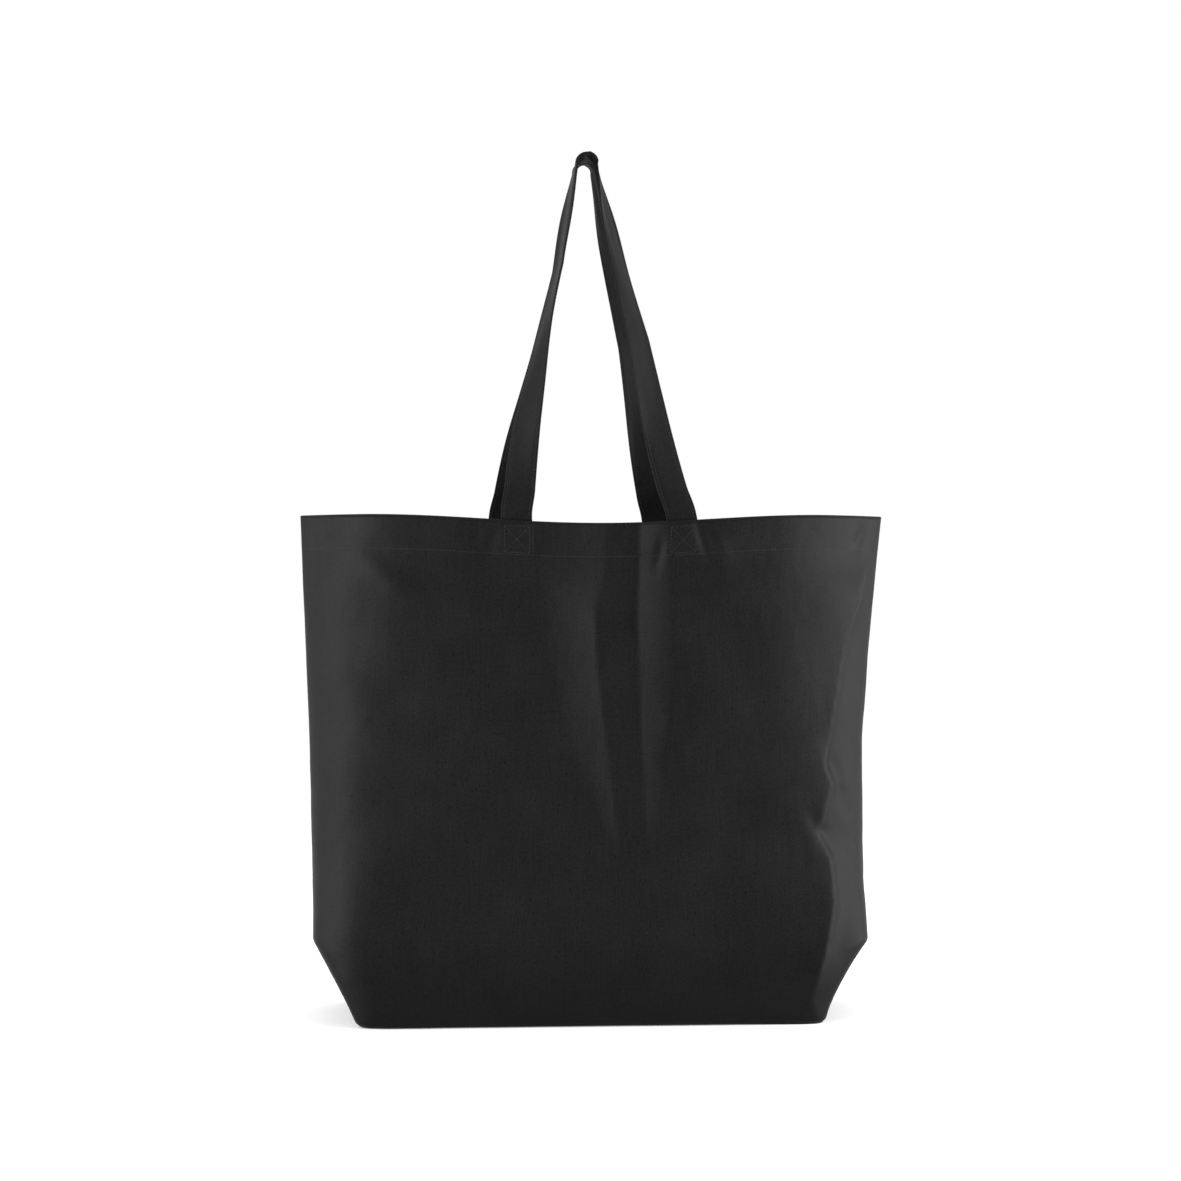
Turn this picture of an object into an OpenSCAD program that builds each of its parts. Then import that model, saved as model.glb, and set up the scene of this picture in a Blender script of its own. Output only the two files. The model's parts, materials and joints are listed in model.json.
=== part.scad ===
/* [Bag] */
// Height of the mouth's corners above the base
bag_h = 410; // [380:5:440]
// Length of the flat base
base_w = 376; // [350:2:400]
// Depth of the flat base from front to back
base_d = 150; // [130:2:156]
// Width of the body where it is fullest
belly_w = 456; // [440:2:470]
// Depth of the body where it is fullest
belly_d = 128; // [120:2:134]
// Height of the fullest part above the base
belly_z = 62; // [56:2:80]
// Width of the mouth from corner to corner
mouth_w = 482; // [470:2:500]
// Depth of the mouth at its middle
mouth_d = 136; // [126:2:146]
// How far the middle of the mouth sags below its corners
mouth_sag = 9; // [0:1:12]

/* [Cloth] */
// Thickness of one layer of canvas
cloth_t = 1.2; // [1:0.1:1.4]
// Height of the turned hem
hem_h = 28; // [24:1:32]
// Thickness of the two hem layers turned inside
hem_t = 2; // [1.6:0.1:2.4]
// Width of the seam allowances inside the bag
seam_w = 10; // [8:1:12]
// Thickness of the sewing thread as it lies on the cloth
thread_t = 0.5; // [0.4:0.1:0.6]

/* [Handles] */
// Distance between the centres of a handle's two sewn ends
strap_spacing = 132; // [120:2:144]
// Width of the handle strap
strap_w = 25; // [22:1:28]
// Thickness of the handle strap
strap_t = 2.4; // [2:0.1:2.6]
// Height of the strap's middle at the top of the raised handles
handle_top = 710; // [660:1:740]
// Bend radius of the strap at the top of a handle
handle_bend_r = 8; // [6:1:12]
// Length over which the strap of a left leg turns a quarter turn
left_twist_l = 180; // [160:5:220]
// Length over which the strap of a right leg turns a quarter turn
right_twist_l = 290; // [160:5:300]

/* [Hidden] */

canvas_black = [0.13, 0.13, 0.14];
hem_black = [0.17, 0.17, 0.18];
strap_black = [0.22, 0.22, 0.23];
thread_grey = [0.42, 0.42, 0.44];

// Corner shape powers of the outline: low is square, 1 is an ellipse, 2 is pointed
base_power = 0.25;
belly_power = 0.667;
mouth_power_x = 0.5;
mouth_power_y = 2;
// Sideways growth of an inset at the mouth's pointed corners
corner_stretch = 1.35;
// Radius at which the walls turn under into the base
turn_r = 8;
// Half the length of mouth that sags
sag_reach = 0.4 * mouth_w;
// Half the gap left between the two panels along their seams
seam_gap = 0.15;
// Gap between sewn layers
layer_gap = 0.2;
// Gap under a thread laid on cloth
thread_lift = 0.3;

outline_steps = 40;
columns = [for (j = [-32:32]) j / 32];
hem_z = bag_h - hem_h;
rows = [0, 0.3 * turn_r, turn_r, 20, 34, 48, belly_z, 120, 180, 240, 300, hem_z, bag_h];
row_count = len(rows);
column_count = len(columns);

strap_x = strap_spacing / 2;
strap_u = 2 * strap_x / (base_w + base_d);
hem_inner = cloth_t + layer_gap + hem_t;
// The swing axis lies in the middle of the hem's top edge, where the straps leave it
swing = wall(strap_u, bag_h, hem_inner / 2);
// Distance from the swing axis in to the middle of the moving strap
swing_offset = hem_inner / 2 + 0.75 + strap_t / 2;
strap_foot = [0, swing[1] + swing_offset, swing[2]];
strap_apex = [0, -strap_w / 2 - 0.7, handle_top];
leg_rise = norm(strap_apex - strap_foot);
leg_dir = (strap_apex - strap_foot) / leg_rise;
leg_out = cross([1, 0, 0], leg_dir);
arch_v = leg_rise - handle_bend_r;
leg_tilt = atan(strap_x / arch_v) - asin(handle_bend_r / norm([strap_x, arch_v]));
leg_start = 2;
leg_end = arch_v + handle_bend_r * sin(leg_tilt);
leg_steps = 36;
arch_steps = 8;
edge_stitch_inset = 2.5;
// Places of the gusset seams on the base: in from its ends, and clear of its round corners
gusset_inset = turn_r + 2;
corner_clear = 22;

function mix(a, b, t) = a + (b - a) * t;
function ease(t) = let (c = min(1, max(0, t))) c * c * (3 - 2 * c);
function rise(z) = max(0, (z - belly_z) / (bag_h - belly_z));
function sag(x) = mouth_sag * pow(cos(90 * min(1, abs(x) / sag_reach)), 2);

// Half width, half depth and the two corner powers of the bag's outline at a height
function level(z) =
    let (low = sin(90 * min(1, z / belly_z)), up = rise(z), power = mix(base_power, belly_power, low))
    [mix(mix(base_w, belly_w, low), mouth_w, up * up) / 2,
     mix(mix(base_d, belly_d, low), mouth_d, up * up) / 2,
     mix(power, mouth_power_x, up),
     mix(power, mouth_power_y, up)];

function outline(size, phi) =
    [size[0] * pow(sin(phi), size[2]), -size[1] * pow(cos(phi), size[3])];

// Running length of a quarter outline, each with its angle, from the middle to the side
function running(size) =
    let (p = [for (i = [0:outline_steps]) outline(size, 90 * i / outline_steps)])
    [for (i = 0, run = 0; i <= outline_steps;
          i = i + 1, run = i > outline_steps ? run : run + norm(p[i] - p[i - 1]))
        [run, 90 * i / outline_steps]];

function at_share(size, u) =
    let (table = running(size)) outline(size, lookup(u * table[outline_steps][0], table));

// Point of the front wall: u runs from -1 at the left side seam to 1 at the right one,
// z is the height on an unsagged bag, and inset is the depth below the outer face
function wall(u, z, inset) =
    let (lv = level(z),
         turn = z < turn_r ? turn_r - sqrt(z * (2 * turn_r - z)) : 0,
         under = turn * (turn_r - inset) / turn_r,
         size = [lv[0] - under - inset * mix(1, corner_stretch, rise(z)),
                 lv[1] - under - inset, lv[2], lv[3]],
         p = at_share(size, abs(u)),
         x = sign(u) * p[0])
    [x, min(p[1], -seam_gap), z - sag(x) * ease(z / bag_h) + inset * max(0, 1 - z / turn_r)];

// Point on the flat stretch of hem: t runs from 0 at its foot to 1 at the mouth
function hem_point(x, t, inset) =
    let (u = x * strap_u / strap_x) mix(wall(u, hem_z, inset), wall(u, bag_h, inset), t);

function grid_index(layer, row, column) = (layer * row_count + row) * column_count + column;
function quad(a, b, c, d) = [[a, b, c], [a, c, d]];

// Closed strip through a list of [centre, half width vector, half thickness vector]
module ribbon(path) {
    last = len(path) - 1;
    corners = [for (s = path) each [s[0] - s[1] - s[2], s[0] + s[1] - s[2],
                                    s[0] + s[1] + s[2], s[0] - s[1] + s[2]]];
    sides = [for (i = [0:last - 1], c = [0:3])
        let (n = (c + 1) % 4) each quad(4 * i + c, 4 * i + 4 + c, 4 * i + 4 + n, 4 * i + n)];
    ends = [each quad(0, 1, 2, 3), each quad(4 * last + 3, 4 * last + 2, 4 * last + 1, 4 * last)];
    polyhedron(points = corners, faces = concat(sides, ends));
}

// Half of the bag, front side: wall and half of the base as one cut piece of canvas
module panel() {
    o = 0;
    i = 1;
    top = row_count - 1;
    end = column_count - 1;
    mid_out = 2 * row_count * column_count;
    mid_in = mid_out + 1;
    points = [for (inset = [0, cloth_t], z = rows, u = columns) wall(u, z, inset)];
    mids = [[0, -seam_gap, 0], [0, -seam_gap, cloth_t]];
    wall_faces = [for (r = [0:top - 1], c = [0:end - 1]) each concat(
        quad(grid_index(o, r, c), grid_index(o, r + 1, c),
             grid_index(o, r + 1, c + 1), grid_index(o, r, c + 1)),
        quad(grid_index(i, r, c), grid_index(i, r, c + 1),
             grid_index(i, r + 1, c + 1), grid_index(i, r + 1, c)))];
    rim = [for (c = [0:end - 1]) each quad(
        grid_index(o, top, c), grid_index(i, top, c),
        grid_index(i, top, c + 1), grid_index(o, top, c + 1))];
    side_edges = [for (r = [0:top - 1]) each concat(
        quad(grid_index(o, r, 0), grid_index(i, r, 0),
             grid_index(i, r + 1, 0), grid_index(o, r + 1, 0)),
        quad(grid_index(o, r, end), grid_index(o, r + 1, end),
             grid_index(i, r + 1, end), grid_index(i, r, end)))];
    base = [for (c = [0:end - 1]) each [
        [mid_out, grid_index(o, 0, c), grid_index(o, 0, c + 1)],
        [mid_in, grid_index(i, 0, c + 1), grid_index(i, 0, c)]]];
    base_edges = concat(
        quad(grid_index(o, 0, 0), mid_out, mid_in, grid_index(i, 0, 0)),
        quad(mid_out, grid_index(o, 0, end), grid_index(i, 0, end), mid_in));
    polyhedron(points = concat(points, mids),
               faces = concat(wall_faces, rim, side_edges, base, base_edges));
}

// Strip of cloth that follows the mouth, between two insets and two heights on the hem
module mouth_strip(outer, inner, low, high) {
    ribbon([for (u = columns)
        let (a = mix(wall(u, hem_z, outer), wall(u, bag_h, outer), low),
             b = mix(wall(u, hem_z, outer), wall(u, bag_h, outer), high),
             c = mix(wall(u, hem_z, inner), wall(u, bag_h, inner), (low + high) / 2))
        [((a + b) / 2 + c) / 2, (b - a) / 2, ((a + b) / 2 - c) / 2]]);
}

module hem() {
    mouth_strip(cloth_t + layer_gap, hem_inner, 0, 1);
}

module hem_stitching() {
    mouth_strip(-thread_lift - thread_t, -thread_lift, 0.01, 0.03);
}

// Sewn end of a strap, flat against the inside of the hem
module strap_end(x) {
    depth = hem_inner + 2 * layer_gap;
    low = hem_point(x, 0, depth);
    high = hem_point(x, 0.98, depth);
    up = (high - low) / norm(high - low);
    middle = cross([1, 0, 0], up) * strap_t / 2;
    ribbon([for (p = [low, high]) [p - middle, [-strap_w / 2, 0, 0], middle]]);
}

// One run of thread on the outside of the hem between two [x, t] places
module hem_thread(from, to) {
    p = [for (t = [0, 0.5, 1])
        hem_point(mix(from[0], to[0], t), mix(from[1], to[1], t), -thread_lift - thread_t / 2)];
    along = (p[2] - p[0]) / norm(p[2] - p[0]);
    across = cross([0, 1, 0], along) * thread_t / 2;
    out = cross(along, across);
    ribbon([for (q = p) [q, across, out]]);
}

// Box with a cross, sewn through hem and strap; sizes across in mm, heights as a share of the hem
module box_stitching(x) {
    half = strap_w / 2 - edge_stitch_inset;
    low = 0.12;
    high = 0.88;
    middle = (low + high) / 2;
    slope = (high - low) / (2 * half);
    side_gap = 0.8;
    cross_gap = 1.5;
    left = x - half;
    right = x + half;
    for (t = [low, high])
        hem_thread([left + side_gap, t], [right - side_gap, t]);
    for (side = [left, right])
        hem_thread([side, low + side_gap * slope], [side, high - side_gap * slope]);
    hem_thread([left + cross_gap, low + cross_gap * slope],
               [right - cross_gap, high - cross_gap * slope]);
    hem_thread([left + cross_gap, high - cross_gap * slope], [x - 1, middle + slope]);
    hem_thread([x + 1, middle - slope], [right - cross_gap, low + cross_gap * slope]);
}

// Station on the handle's middle line at [x, v] with in-plane direction and turn of the strap
function station(x, v, dir, turn) =
    let (along = dir[0] * [1, 0, 0] + dir[1] * leg_dir,
         outward = -dir[1] * [1, 0, 0] + dir[0] * leg_dir,
         across = cos(turn) * outward + sin(turn) * leg_out)
    [strap_foot + x * [1, 0, 0] + v * leg_dir, across, cross(along, across)];

// Turn of the strap at a distance up the leg, quick at first and settling to edge-on
function strap_turn(v, twist_l) = 90 * sin(90 * min(1, v / twist_l));

function left_leg() = [for (i = [0:leg_steps])
    let (v = mix(leg_start, leg_end, i / leg_steps),
         x = -strap_x + v * tan(leg_tilt))
    station(x, v, [sin(leg_tilt), cos(leg_tilt)], strap_turn(v, left_twist_l))];

function arch() = [for (i = [1:arch_steps - 1])
    let (g = mix(leg_tilt, 180 - leg_tilt, i / arch_steps))
    station(-handle_bend_r * cos(g), arch_v + handle_bend_r * sin(g), [sin(g), cos(g)], 90)];

function right_leg() = [for (i = [leg_steps:-1:0])
    let (v = mix(leg_start, leg_end, i / leg_steps),
         x = strap_x - v * tan(leg_tilt))
    station(x, v, [sin(leg_tilt), -cos(leg_tilt)], strap_turn(v, right_twist_l))];

// Strip along the handle, offset from the strap's middle across it and out of its face
module along_handle(across, out, half_w, half_t) {
    ribbon([for (s = concat(left_leg(), arch(), right_leg()))
        [s[0] + s[1] * across + s[2] * out, s[1] * half_w, s[2] * half_t]]);
}

module handle() {
    along_handle(0, 0, strap_w / 2, strap_t / 2);
}

module handle_stitching() {
    for (side = [-1, 1])
        along_handle(side * (strap_w / 2 - edge_stitch_inset),
                     strap_t / 2 + thread_lift + thread_t / 2, thread_t / 2, thread_t / 2);
}

// Seam allowance standing in from the side seam, from the base up to the hem
module side_seam() {
    foot = cloth_t + 5;
    clear_of_wall = 1.5;
    ribbon([for (z = [foot, for (z = rows) if (z > 15 && z < hem_z) z, hem_z - 1])
        let (x = wall(1, z, cloth_t)[0] - clear_of_wall - seam_w / 2)
        [[x, 0, z], [seam_w / 2, 0, 0], [0, cloth_t, 0]]]);
}

// Seam allowances lying on the base, along its middle and along its short edges
module bottom_seam() {
    half = base_w / 2 - gusset_inset - seam_w - 4;
    color(hem_black) translate([-half, 0, cloth_t + layer_gap])
        cube([2 * half, seam_w, 2 * cloth_t]);
}

module gusset_seam() {
    half = base_d / 2 - corner_clear;
    translate([base_w / 2 - gusset_inset - seam_w, -half, cloth_t + layer_gap])
        cube([seam_w, 2 * half, 2 * cloth_t]);
}

module front_panel() { color(canvas_black) panel(); }
module back_panel() { color(canvas_black) mirror([0, 1, 0]) panel(); }
module front_hem() { color(hem_black) hem(); }
module back_hem() { color(hem_black) mirror([0, 1, 0]) hem(); }
module front_hem_stitching() { color(thread_grey) hem_stitching(); }
module back_hem_stitching() { color(thread_grey) mirror([0, 1, 0]) hem_stitching(); }
module left_side_seam() { color(hem_black) mirror([1, 0, 0]) side_seam(); }
module right_side_seam() { color(hem_black) side_seam(); }
module left_gusset_seam() { color(hem_black) mirror([1, 0, 0]) gusset_seam(); }
module right_gusset_seam() { color(hem_black) gusset_seam(); }
module front_left_strap_end() { color(strap_black) strap_end(-strap_x); }
module front_right_strap_end() { color(strap_black) strap_end(strap_x); }
module back_left_strap_end() { color(strap_black) mirror([0, 1, 0]) strap_end(-strap_x); }
module back_right_strap_end() { color(strap_black) mirror([0, 1, 0]) strap_end(strap_x); }
module front_left_box_stitching() { color(thread_grey) box_stitching(-strap_x); }
module front_right_box_stitching() { color(thread_grey) box_stitching(strap_x); }
module back_left_box_stitching() { color(thread_grey) mirror([0, 1, 0]) box_stitching(-strap_x); }
module back_right_box_stitching() { color(thread_grey) mirror([0, 1, 0]) box_stitching(strap_x); }
module front_handle() { color(strap_black) handle(); }
module back_handle() { color(strap_black) mirror([0, 1, 0]) handle(); }
module front_handle_stitching() { color(thread_grey) handle_stitching(); }
module back_handle_stitching() { color(thread_grey) mirror([0, 1, 0]) handle_stitching(); }

front_panel();
back_panel();
front_hem();
back_hem();
front_hem_stitching();
back_hem_stitching();
left_side_seam();
right_side_seam();
bottom_seam();
left_gusset_seam();
right_gusset_seam();
front_left_strap_end();
front_right_strap_end();
back_left_strap_end();
back_right_strap_end();
front_left_box_stitching();
front_right_box_stitching();
back_left_box_stitching();
back_right_box_stitching();
front_handle();
back_handle();
front_handle_stitching();
back_handle_stitching();
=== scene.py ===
import functools
import json
import math

import bmesh
import bpy
from mathutils import Matrix, Vector, noise


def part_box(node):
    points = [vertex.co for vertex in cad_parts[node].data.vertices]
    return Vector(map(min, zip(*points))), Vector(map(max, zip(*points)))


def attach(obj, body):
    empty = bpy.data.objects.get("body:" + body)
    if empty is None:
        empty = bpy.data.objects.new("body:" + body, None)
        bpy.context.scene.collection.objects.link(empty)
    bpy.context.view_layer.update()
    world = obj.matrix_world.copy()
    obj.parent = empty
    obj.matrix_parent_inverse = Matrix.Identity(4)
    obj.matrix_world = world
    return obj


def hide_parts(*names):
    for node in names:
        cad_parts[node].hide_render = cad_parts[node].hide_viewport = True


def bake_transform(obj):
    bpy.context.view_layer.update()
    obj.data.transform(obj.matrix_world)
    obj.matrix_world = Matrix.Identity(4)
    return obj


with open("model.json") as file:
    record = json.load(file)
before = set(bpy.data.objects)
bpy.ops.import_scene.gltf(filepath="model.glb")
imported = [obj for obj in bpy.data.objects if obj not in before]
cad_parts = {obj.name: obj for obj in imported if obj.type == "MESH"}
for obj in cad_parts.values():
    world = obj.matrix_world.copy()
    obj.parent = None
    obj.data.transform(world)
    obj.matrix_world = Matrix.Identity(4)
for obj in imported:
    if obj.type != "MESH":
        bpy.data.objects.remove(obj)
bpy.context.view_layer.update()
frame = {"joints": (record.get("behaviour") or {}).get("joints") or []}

bl_info = {
    "name": "Canvas tote bag",
    "version": (1, 0, 0),
    "blender": (4, 5, 0),
    "location": "3D View > Sidebar > Tote",
    "description": "Builds a black canvas tote with folds, hem, straps and stitching",
    "category": "Add Mesh",
}

# Driving sizes, from the frame where it holds them, in metres
PANEL_LOW, PANEL_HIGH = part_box("front_panel")
HANDLE_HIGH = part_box("front_handle")[1]
SWING = next(j for j in frame["joints"] if j["name"] == "front_handle_swing")
BAG_H = PANEL_HIGH.z
MOUTH_HALF_W = PANEL_HIGH.x
MOUTH_HALF_D = 0.068
MOUTH_SAG = 0.0074
SAG_REACH = 0.8 * MOUTH_HALF_W
BASE_HALF_W = 0.189
BASE_ASIDE = -0.0036
BASE_HALF_D = -PANEL_LOW.y
KINK_Z = 0.060
BASE_ASIDE_RISE = 1.5 * KINK_Z
CORNER_RISE = 2.5 * KINK_Z
LEFT_KINK = (0.066, 1.1)
RIGHT_KINK = (0.063, 1.5)
BELLY_HALF_D = 0.064
LEFT_BELLY_W = 0.2272
RIGHT_BELLY_W = 0.2262
RIGHT_FLARE_Z = 0.225
RIGHT_FLARE_POWER = 1.2
RIGHT_MOUTH_EXTRA = 0.0015
BASE_POWER = 0.12
BELLY_POWER = 0.60
MOUTH_POWER_X = 0.5
MOUTH_POWER_Y = 1.9
TURN_R = 0.005
SEAM_GAP = 0.00015
PANEL_HALF_CUT = BASE_HALF_W + BASE_HALF_D
HEM_H = 0.028
HEM_Z = BAG_H - HEM_H
# Depths below the outer face, and the stitch row's height above the hem's foot
HEM_GAP = 0.00015
HEM_INNER = 0.0034
STRAP_INNER = 0.00645
HEM_ROW_UP = 0.0012
HEM_LIP = 0.0012
OUTLINE_STEPS = 60

STRAP_X = 0.066
STRAP_HALF_W = 0.0125
STRAP_SEWN_IN = 0.00365
STRAP_FOOT_Y = SWING["pos_m"][1] + STRAP_SEWN_IN
STRAP_FOOT_Z = SWING["pos_m"][2]
APEX_DROP = 0.0075
STRAP_APEX = Vector((0.0, -0.0132, HANDLE_HIGH.z - APEX_DROP))
ARCH_R = 0.008
# How far each leg has turned edge-on: height above the mouth, degrees
LEFT_TURNS = ((0.0, 0.0), (0.060, 24.0), (0.110, 48.0), (0.160, 68.0), (0.210, 80.0),
              (0.258, 68.0), (0.296, 90.0))
RIGHT_TURNS = ((0.0, 0.0), (0.100, 26.0), (0.190, 50.0), (0.262, 60.0), (0.296, 90.0))
TURN_SPREAD = (-0.024, -0.016, -0.008, 0.0, 0.008, 0.016, 0.024)
SEWN_L = 0.027
# Where each leg is really sewn: how far right of its even place, by side and hand
SEWN_ASIDE = {(-1, -1): 0.0012, (-1, 1): 0.0026, (1, -1): -0.0065, (1, 1): -0.0065}
ASIDE_RISE = 0.150
LOOP_LEAN = -0.0064
# How far each leg bows to the right, and the share of its height that it does so over
LEFT_BOW = (-0.0064, 0.70)
RIGHT_BOW = (-0.0030, 0.5)
ASIDE_POWER = 1.6
EDGE_STITCH_INSET = 0.0025
# Where the strap bends out of its sewn end, and where it has turned into the leaning leg
BEND_BELOW = 0.006
BEND_L = 0.034
SEWN_SLOPE = 0.0004
BLEND_DROP = 0.0005
# Gaps from a stitched box to the hem's foot and to the mouth
BOX_FOOT_GAP = 0.0028
BOX_TOP_GAP = 0.0040

# Seam allowances
SEAM_HALF_W = 0.005
SEAM_FOOT_Z = 0.007
SEAM_TOP_GAP = 0.002
SEAM_FROM_WALL = 0.0085
SEAM_LIFT = 0.0002
OVERLOCK_PITCH = 0.0032

# Folds: how far left of their stations the front's lie, and how sharply a valley's sides turn
FRONT_FOLDS_ASIDE = 0.0045
VALLEY_POWER = 1.3
# Soft billows of the cloth: how fine, how tall
BILLOWS = ((1.0, 0.0024), (2.7, 0.0010), (13.0, 0.00016))
# The cloth lies calm round the straps' ends: half width, bottom, height of the change
CALM_HALF_W = 0.025
CALM_Z = 0.34
CALM_FADE = 0.05
CALM_ASIDE = 0.005
# Stations of the fold between the straps: height, left crest, floor's left and right edges,
# right crest, depth
FRONT_VALLEY = (
    (0.128, 0.022, 0.027, 0.044, 0.050, 0.0000),
    (0.165, 0.006, 0.021, 0.043, 0.055, 0.0040),
    (0.216, -0.014, 0.015, 0.040, 0.061, 0.0085),
    (0.285, -0.032, 0.006, 0.038, 0.067, 0.0120),
    (0.340, -0.041, 0.004, 0.037, 0.067, 0.0135),
    (0.373, -0.044, 0.0116, 0.038, 0.064, 0.0130),
    (0.410, -0.045, 0.0120, 0.038, 0.060, 0.0110),
)
BACK_VALLEY = (
    (0.170, 0.010, 0.014, 0.018, 0.026, 0.0000),
    (0.240, -0.010, 0.006, 0.020, 0.040, 0.0040),
    (0.330, -0.028, -0.004, 0.016, 0.046, 0.0070),
    (0.410, -0.036, -0.008, 0.016, 0.050, 0.0080),
)
# Crest of the sharp fold down the bag's right side: height, place
RIGHT_CREST = (
    (0.000, 0.183), (0.020, 0.176), (0.054, 0.188), (0.095, 0.1955), (0.132, 0.192),
    (0.153, 0.182), (0.191, 0.194), (0.207, 0.188), (0.247, 0.1955), (0.313, 0.2075),
    (0.369, 0.227),
)
LEFT_CREST = ((0.000, 0.165), (0.050, 0.181), (0.120, 0.198), (0.300, 0.205), (0.380, 0.210))
# A crest's inner and outer reach, height and softness, where 1 is sharp
FRONT_RIGHT_CREST = (0.055, 0.006, 0.0085, 1)
FRONT_LEFT_CREST = (0.040, 0.024, 0.0036, 2)
BACK_RIGHT_CREST = (0.030, 0.018, 0.0022, 2)
BACK_LEFT_CREST = (0.030, 0.018, 0.0026, 2)
CREST_TOP_Z = 0.39
CREST_FADE = 0.05
# Creases: two ends as (across, height), half width, depth; a negative depth stands out
FRONT_CREASES = (
    ((0.084, 0.412), (0.096, 0.376), 0.0045, 0.0026),
    ((0.096, 0.402), (0.112, 0.372), 0.0060, -0.0012),
    ((-0.078, 0.408), (-0.088, 0.378), 0.0085, 0.0032),
    ((-0.046, 0.406), (-0.045, 0.383), 0.0020, 0.0020),
    ((0.057, 0.398), (0.052, 0.372), 0.0030, 0.0022),
    ((-0.2235, 0.392), (-0.2200, 0.345), 0.0035, 0.0014),
    ((0.228, 0.402), (0.222, 0.384), 0.0040, 0.0018),
    ((-0.034, 0.146), (-0.012, 0.112), 0.0075, 0.0016),
    ((-0.010, 0.112), (0.002, 0.138), 0.0060, -0.0012),
    ((0.176, 0.170), (0.192, 0.135), 0.0060, 0.0020),
    ((0.190, 0.226), (0.210, 0.170), 0.0060, 0.0018),
    ((-0.150, 0.060), (-0.190, 0.020), 0.0120, 0.0012),
    ((-0.196, 0.386), (-0.148, 0.346), 0.0100, -0.0018),
    ((-0.205, 0.330), (-0.150, 0.240), 0.0200, 0.0016),
    ((0.090, 0.350), (0.150, 0.230), 0.0220, 0.0018),
    ((-0.060, 0.240), (-0.110, 0.120), 0.0240, 0.0018),
    ((-0.213, 0.408), (-0.210, 0.390), 0.0080, 0.0014),
)
BACK_CREASES = (
    ((0.085, 0.405), (0.112, 0.372), 0.0060, 0.0026),
    ((-0.085, 0.405), (-0.115, 0.360), 0.0070, 0.0030),
    ((-0.060, 0.330), (-0.120, 0.180), 0.0160, 0.0030),
    ((0.090, 0.300), (0.140, 0.120), 0.0180, 0.0030),
    ((-0.150, 0.090), (-0.080, 0.050), 0.0120, 0.0020),
)

# Stage. A light's place, what it faces, its width and height, and its power in watts
LIGHTS = {
    "left_softbox": ((-1.50, -0.75, 0.50), (0, 0, 0.30), 0.4, 1.0, 9.5),
    "left_rim": ((-1.7, 0.02, 0.40), (0, 0, 0.25), 0.5, 0.8, 2.4),
    "right_rim": ((1.7, 0.02, 0.40), (0, 0, 0.25), 0.5, 0.8, 5.5),
    "right_softbox": ((1.50, -0.75, 0.50), (0, 0, 0.30), 0.4, 1.0, 10.5),
}
LIGHT_SPREAD = math.radians(110)
FLOOR_HALF_W = 30.0
FLOOR_GLOW = 0.22
WHITE = (1.0, 1.0, 1.0, 1.0)
DIM_FRONT = (0.60, 0.60, 0.61, 1.0)
CAMERA_YAW = math.radians(-3.8)
CAMERA_DISTANCE = 1.92
CAMERA_Z = 0.349
CAMERA_ASIDE = -0.0015
CAMERA_LENS = 70.5
CAMERA_SENSOR_W = 36.0

# Sizes and looks that a user changes


class ToteSizes(bpy.types.PropertyGroup):
    cloth: bpy.props.FloatProperty(
        name="Canvas thickness", description="Thickness of one layer of canvas",
        default=0.0011, min=0.0005, max=0.002, unit="LENGTH")
    strap_thickness: bpy.props.FloatProperty(
        name="Strap thickness", description="Thickness of the folded strap",
        default=0.0024, min=0.001, max=0.004, unit="LENGTH")
    stitch_pitch: bpy.props.FloatProperty(
        name="Stitch pitch", description="Distance from one stitch to the next",
        default=0.0027, min=0.0015, max=0.005, unit="LENGTH")
    thread: bpy.props.FloatProperty(
        name="Thread thickness", description="Thickness of the sewing thread",
        default=0.00042, min=0.0002, max=0.001, unit="LENGTH")
    weave: bpy.props.FloatProperty(
        name="Yarn spacing", description="Distance between neighbouring yarns of the weave",
        default=0.0007, min=0.0004, max=0.002, unit="LENGTH")


class ToteColours(bpy.types.PropertyGroup):
    canvas: bpy.props.FloatVectorProperty(
        name="Canvas", description="Colour of the dyed canvas",
        default=(0.0012, 0.0012, 0.0013), subtype="COLOR", min=0, max=1)
    worn: bpy.props.FloatVectorProperty(
        name="Faded canvas", description="Colour of yarns that took less dye",
        default=(0.0100, 0.0100, 0.0104), subtype="COLOR", min=0, max=1)
    thread: bpy.props.FloatVectorProperty(
        name="Thread", description="Colour of the sewing thread",
        default=(0.027, 0.027, 0.028), subtype="COLOR", min=0, max=1)
    floor: bpy.props.FloatVectorProperty(
        name="Floor", description="Colour of the studio floor",
        default=(0.90, 0.90, 0.90), subtype="COLOR", min=0, max=1)


# Shader building


class Value:
    """One shader socket; arithmetic on it adds Math nodes."""

    def __init__(self, recipe, socket):
        self.recipe, self.socket = recipe, socket

    def math(self, operation, first, second=0.0):
        return self.recipe.node("ShaderNodeMath", {"operation": operation}, {0: first, 1: second})

    def __add__(self, other):
        return self.math("ADD", self, other)

    def __sub__(self, other):
        return self.math("SUBTRACT", self, other)

    def __rsub__(self, other):
        return self.math("SUBTRACT", other, self)

    def __mul__(self, other):
        return self.math("MULTIPLY", self, other)

    __radd__ = __add__
    __rmul__ = __mul__

    def sine(self):
        return self.math("SINE", self)

    def size(self):
        return self.math("ABSOLUTE", self)

    def between(self, low, high):
        return self.recipe.node(
            "ShaderNodeMapRange", {"interpolation_type": "SMOOTHSTEP"},
            {"Value": self, "From Min": low, "From Max": high})


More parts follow.
